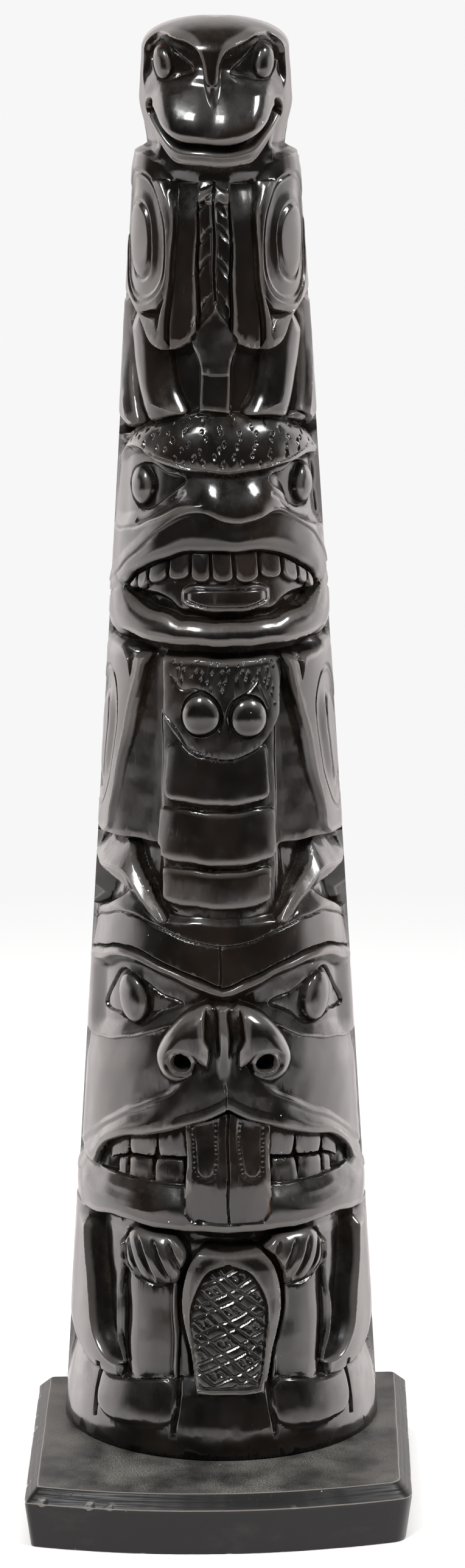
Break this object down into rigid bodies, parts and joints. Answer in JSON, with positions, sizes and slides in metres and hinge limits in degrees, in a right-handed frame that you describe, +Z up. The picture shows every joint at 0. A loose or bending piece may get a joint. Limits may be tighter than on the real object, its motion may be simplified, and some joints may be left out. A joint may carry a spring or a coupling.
{
  "type": "totem pole",
  "caption": "Tapered stone totem pole with stacked carved figures on a rounded front, a flat back and a separate chamfered plinth.",
  "frame": {"origin": "middle of the plinth's underside, taken from the whole object's box", "axes": "+Z up the pole, +X to the viewer's right, and the carved front faces -Y"},
  "size_m": [0.0902, 0.0838, 0.3488],
  "materials": {
    "plinth_stone": "rubbed black stone, satin, with a filed chamfer",
    "pole_stone": "polished black stone with fine tool marks"
  },
  "bodies": {
    "root": {"plinth": "plinth_stone", "pole": "pole_stone"}
  },
  "joints": []
}
